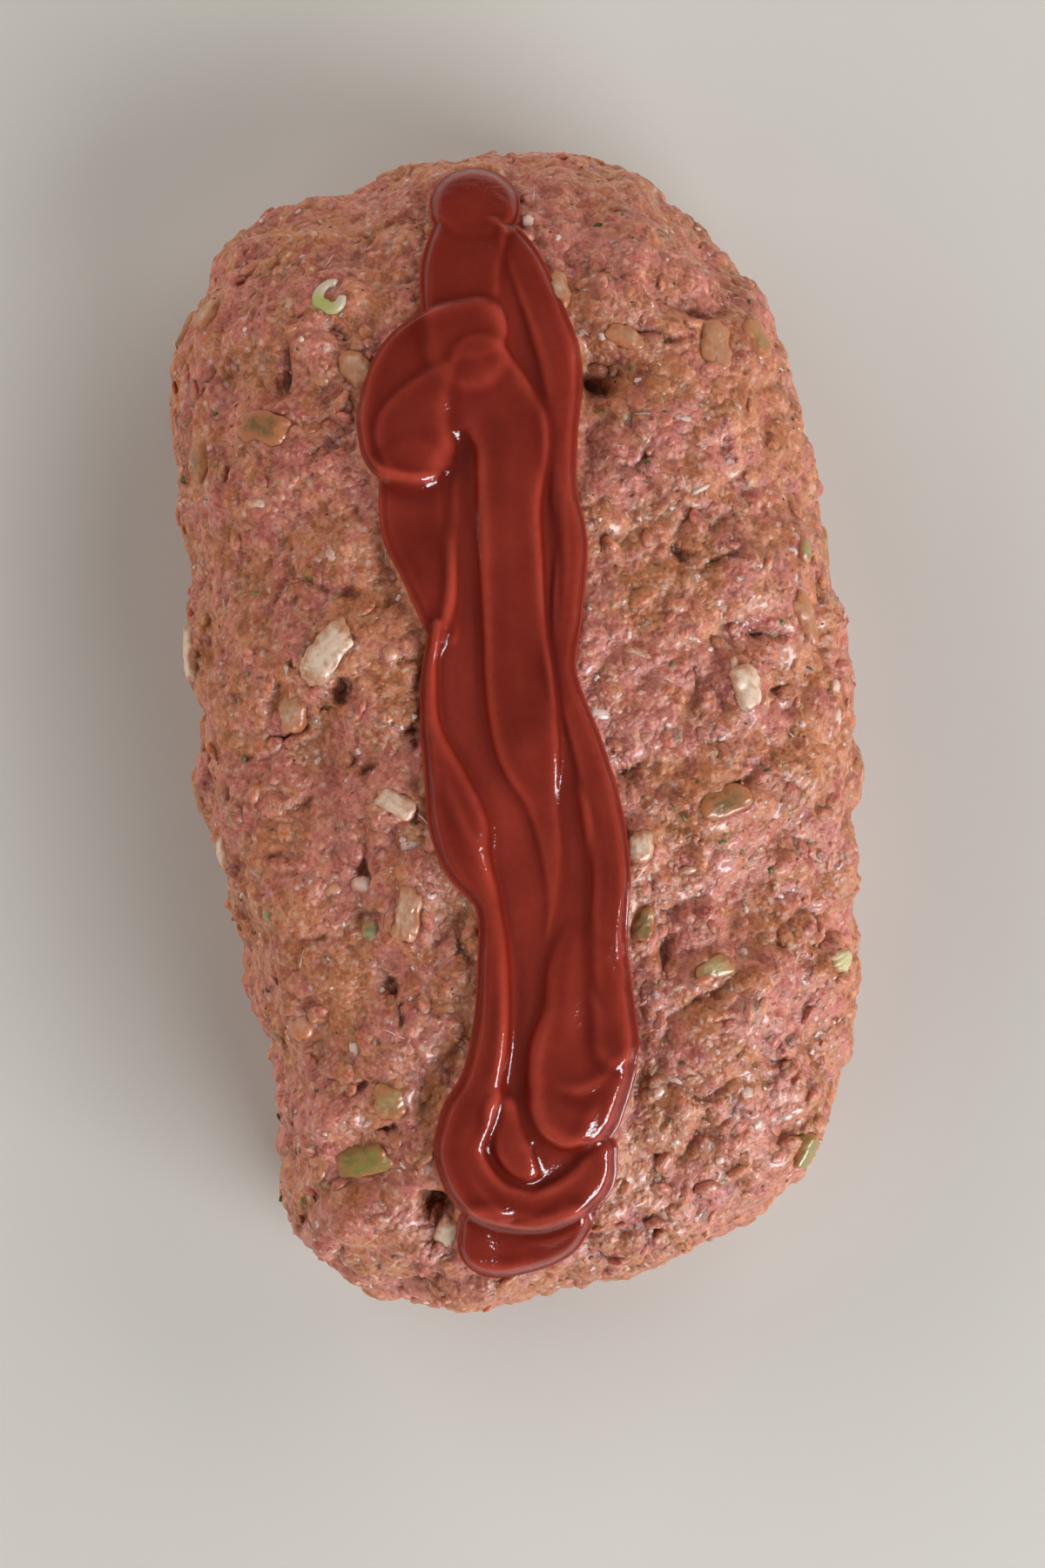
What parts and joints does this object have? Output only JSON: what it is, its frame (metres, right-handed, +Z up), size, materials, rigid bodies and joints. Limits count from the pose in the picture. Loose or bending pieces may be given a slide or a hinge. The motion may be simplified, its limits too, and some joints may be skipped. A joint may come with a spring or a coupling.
{
  "type": "raw meatloaf",
  "caption": "Uncooked hand-shaped loaf of seasoned mince with diced onion, celery and green pepper, and a band of thick tomato sauce squeezed along its top.",
  "frame": {"origin": "middle of the base, on the surface that the loaf lies on", "axes": "+Z up; +Y along the loaf, towards the end where the sauce starts as a single round lobe; +X to the right, seen from above with +Y away"},
  "size_m": [0.1308, 0.2254, 0.0586],
  "materials": {
    "mince": "moist, granular",
    "tomato_sauce": "glossy, wet",
    "onion": "moist, translucent",
    "celery": "moist",
    "green_pepper": "moist, waxy",
    "spring_onion": "moist"
  },
  "bodies": {
    "root": {"celery_far_right": "celery", "celery_near_left": "celery", "celery_near_low": "celery", "celery_right_diagonal": "celery", "celery_right_edge": "celery", "celery_right_low": "celery", "loaf": "mince", "onion_beside_sauce": "onion", "onion_beside_wedge": "onion", "onion_far_chip": "onion", "onion_far_left": "onion", "onion_far_low": "onion", "onion_far_translucent": "onion", "onion_fold": "onion", "onion_left_edge": "onion", "onion_left_low": "onion", "onion_left_sliver": "onion", "onion_mid_left": "onion", "onion_mid_right": "onion", "onion_near_hollow": "onion", "onion_near_low": "onion", "onion_right_dice": "onion", "onion_right_low": "onion", "onion_right_sliver": "onion", "onion_striped": "onion", "onion_wedge": "onion", "pepper_far_left": "green_pepper", "pepper_far_low": "green_pepper", "pepper_left_flank": "green_pepper", "pepper_left_low": "green_pepper", "pepper_mid_right": "green_pepper", "pepper_near_left": "green_pepper", "pepper_near_right": "green_pepper", "pepper_right_chip": "green_pepper", "sauce": "tomato_sauce", "spring_onion_ring": "spring_onion"}
  },
  "joints": []
}
